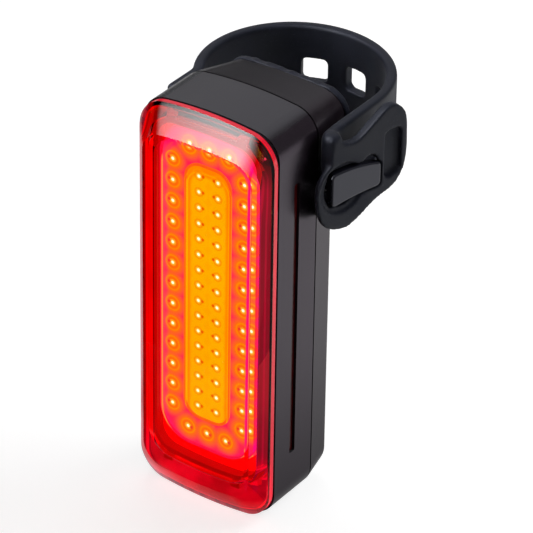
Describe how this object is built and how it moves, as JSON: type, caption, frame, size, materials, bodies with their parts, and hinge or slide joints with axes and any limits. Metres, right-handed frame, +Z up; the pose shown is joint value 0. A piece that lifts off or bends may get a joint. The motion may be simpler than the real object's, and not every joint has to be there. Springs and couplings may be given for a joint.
{
  "type": "bicycle tail light",
  "caption": "Upright rear light for a bicycle: deep red lens over a glowing light board, black tapering body and a rubber strap that hooks round a seat post or stay.",
  "frame": {"origin": "axis of the thickest unstretched post in the strap loop, half way up the strap", "axes": "+Z up the post, +Y from the light towards the post, so the lens faces -Y; +X is the side with the pull tab"},
  "size_m": [0.0422, 0.0492, 0.0804],
  "materials": {
    "red_lens": "clear deep red polycarbonate, polished",
    "black_seal": "soft black sealing strip",
    "white_board": "white coated aluminium light board",
    "led_chip": "bare lit chips",
    "clear_dam": "translucent silicone bead",
    "red_gel": "soft red silicone over the outer chips",
    "amber_gel": "soft amber silicone over the inner chips",
    "red_bezel": "red moulded frame",
    "bare_aluminium": "plain stamped sheet",
    "black_casing": "satin black moulded plastic",
    "red_window": "dark red translucent strip",
    "black_rubber": "matte black silicone rubber, slightly dusty",
    "green_board": "green circuit board",
    "grey_frame": "plain grey moulding",
    "small_screw": "plated machine screw",
    "cell_foil": "foil pouch of a flat cell",
    "grey_foam": "foam pad",
    "wire_sleeve": "insulated wire",
    "bright_steel": "stamped steel shell",
    "hook_plastic": "satin black hard plastic"
  },
  "bodies": {
    "housing": {"front_lens": "red_lens", "lens_gasket": "black_seal", "cob_board": "white_board", "outer_leds": "led_chip", "inner_leds": "led_chip", "outer_dam": "clear_dam", "inner_dam": "clear_dam", "outer_gel": "red_gel", "inner_gel": "amber_gel", "reflector_bezel": "red_bezel", "heat_plate": "bare_aluminium", "front_casing": "black_casing", "left_side_window": "red_window", "right_side_window": "red_window", "casing_seal": "black_seal", "rear_housing": "black_casing", "saddle_pad": "black_rubber", "main_board": "green_board", "inner_frame": "grey_frame", "board_screws": "small_screw", "battery_cell": "cell_foil", "battery_foam": "grey_foam", "battery_lead": "wire_sleeve", "usb_board": "green_board", "usb_socket": "bright_steel", "tact_switch": "grey_frame", "housing_screws": "small_screw", "strap_band": "black_rubber", "strap_hook": "hook_plastic", "strap_anchor": "hook_plastic", "hook_screw": "small_screw", "anchor_screw": "small_screw"},
    "tab": {"strap_tab": "black_rubber"},
    "button": {"power_button": "black_rubber"},
    "port_cover": {"usb_cover": "black_rubber"}
  },
  "joints": [
    {"name": "tab_peel", "type": "hinge", "parent": "housing", "child": "tab", "pos_m": [0.0166, -0.02045, 0], "axis": [0, 0, -1], "range_deg": [0, 21], "stiffness_Nm_per_rad": 0.01},
    {"name": "button_press", "type": "slide", "parent": "housing", "child": "button", "axis": [0, 0, 1], "range_m": [0, 0.0007], "stiffness_N_per_m": 2000},
    {"name": "cover_open", "type": "hinge", "parent": "housing", "child": "port_cover", "pos_m": [0, -0.01516, -0.05759], "axis": [-1, 0, 0], "range_deg": [0, 90]}
  ]
}
